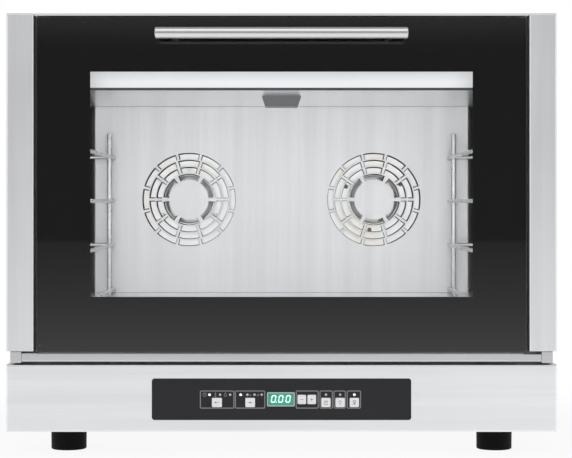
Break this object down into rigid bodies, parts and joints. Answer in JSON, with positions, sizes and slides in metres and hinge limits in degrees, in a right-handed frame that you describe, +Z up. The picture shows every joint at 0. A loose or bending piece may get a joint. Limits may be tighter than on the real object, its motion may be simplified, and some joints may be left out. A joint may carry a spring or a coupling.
{
  "type": "convection oven",
  "caption": "Counter-top convection oven with a drop-down glass door, slotted fan grilles, wire tray racks, a key panel below the door and short round feet.",
  "frame": {"origin": "middle of the oven's outline on the surface that its feet stand on", "axes": "+Z up; the door and the control panel face -Y; +X is to the right of someone facing the door"},
  "size_m": [0.784, 0.754, 0.634],
  "materials": {
    "casing_steel": "brushed stainless steel",
    "cavity_steel": "satin stainless steel",
    "galvanised": "galvanised sheet",
    "handle_steel": "polished stainless steel",
    "rack_wire": "bright wire",
    "fan_steel": "stamped stainless steel",
    "fixings": "plain steel",
    "clear_glass": "tempered glass",
    "black_border": "black print on glass",
    "black_rubber": "moulded rubber",
    "seal_rubber": "silicone seal",
    "panel_film": "satin film",
    "white_key": "satin plastic",
    "display": "tinted window",
    "light_guide": "clear plastic",
    "board": "circuit board",
    "motor_metal": "grey paint",
    "heater_sheath": "heat-dulled sheath",
    "mineral_wool": "mineral wool",
    "black_plastic": "moulded plastic",
    "lamp_body": "porcelain and glass bulb"
  },
  "bodies": {
    "oven": {"base_tray": "galvanised", "cable_gland": "black_plastic", "casing_screws": "fixings", "cavity_rear_wall": "cavity_steel", "cavity_shell": "cavity_steel", "control_board": "board", "control_panel": "panel_film", "deflector_panel": "cavity_steel", "display_lens": "display", "door_gasket": "seal_rubber", "fascia": "casing_steel", "feet": "black_rubber", "fixing_bolts": "fixings", "front_frame": "cavity_steel", "heating_element_left": "heater_sheath", "heating_element_right": "heater_sheath", "hinge_block_left": "casing_steel", "hinge_block_right": "casing_steel", "indicator_lights": "light_guide", "insulation": "mineral_wool", "lamp_glass": "clear_glass", "motor_left": "motor_metal", "motor_right": "motor_metal", "outer_casing": "casing_steel", "oven_lamp": "lamp_body", "post_left": "casing_steel", "post_right": "casing_steel", "power_board": "board", "rack_left": "rack_wire", "rack_right": "rack_wire", "rear_bulkhead": "galvanised", "rear_cover": "galvanised", "temperature_probe": "cavity_steel", "top_rail": "casing_steel", "vent_baffle": "cavity_steel", "vent_pipe": "cavity_steel"},
    "door": {"door_outer_glass": "clear_glass", "glass_border": "black_border", "door_frame": "galvanised", "door_inner_glass": "clear_glass", "glass_clips": "galvanised", "handle_bar": "handle_steel", "handle_posts": "handle_steel", "handle_screws": "fixings", "door_beam": "casing_steel", "hinge_pins": "fixings", "stay_arm_left": "fixings", "stay_arm_right": "fixings"},
    "fan_left": {"impeller_left": "fan_steel", "fan_shaft_left": "fan_steel"},
    "fan_right": {"impeller_right": "fan_steel", "fan_shaft_right": "fan_steel"},
    "key_fan": {"key_fan": "white_key"},
    "key_light": {"key_light": "white_key"},
    "key_minus": {"key_minus": "white_key"},
    "key_plus": {"key_plus": "white_key"},
    "key_program": {"key_program": "white_key"},
    "key_start": {"key_start": "white_key"},
    "key_steam": {"key_steam": "white_key"}
  },
  "joints": [
    {"name": "door_hinge", "type": "hinge", "parent": "oven", "child": "door", "pos_m": [0, -0.3215, 0.144], "axis": [1, 0, 0], "range_deg": [0, 90]},
    {"name": "fan_left_spin", "type": "hinge", "parent": "oven", "child": "fan_left", "pos_m": [-0.1585, 0.1845, 0.3697], "axis": [0, 1, 0], "continuous": true},
    {"name": "fan_right_spin", "type": "hinge", "parent": "oven", "child": "fan_right", "pos_m": [0.1585, 0.1845, 0.3697], "axis": [0, 1, 0], "continuous": true},
    {"name": "key_fan_press", "type": "slide", "parent": "oven", "child": "key_fan", "axis": [0, 1, 0], "range_m": [0, 0.0008], "stiffness_N_per_m": 500},
    {"name": "key_light_press", "type": "slide", "parent": "oven", "child": "key_light", "axis": [0, 1, 0], "range_m": [0, 0.0008], "stiffness_N_per_m": 500},
    {"name": "key_minus_press", "type": "slide", "parent": "oven", "child": "key_minus", "axis": [0, 1, 0], "range_m": [0, 0.0008], "stiffness_N_per_m": 500},
    {"name": "key_plus_press", "type": "slide", "parent": "oven", "child": "key_plus", "axis": [0, 1, 0], "range_m": [0, 0.0008], "stiffness_N_per_m": 500},
    {"name": "key_program_press", "type": "slide", "parent": "oven", "child": "key_program", "axis": [0, 1, 0], "range_m": [0, 0.0008], "stiffness_N_per_m": 500},
    {"name": "key_start_press", "type": "slide", "parent": "oven", "child": "key_start", "axis": [0, 1, 0], "range_m": [0, 0.0008], "stiffness_N_per_m": 500},
    {"name": "key_steam_press", "type": "slide", "parent": "oven", "child": "key_steam", "axis": [0, 1, 0], "range_m": [0, 0.0008], "stiffness_N_per_m": 500}
  ]
}
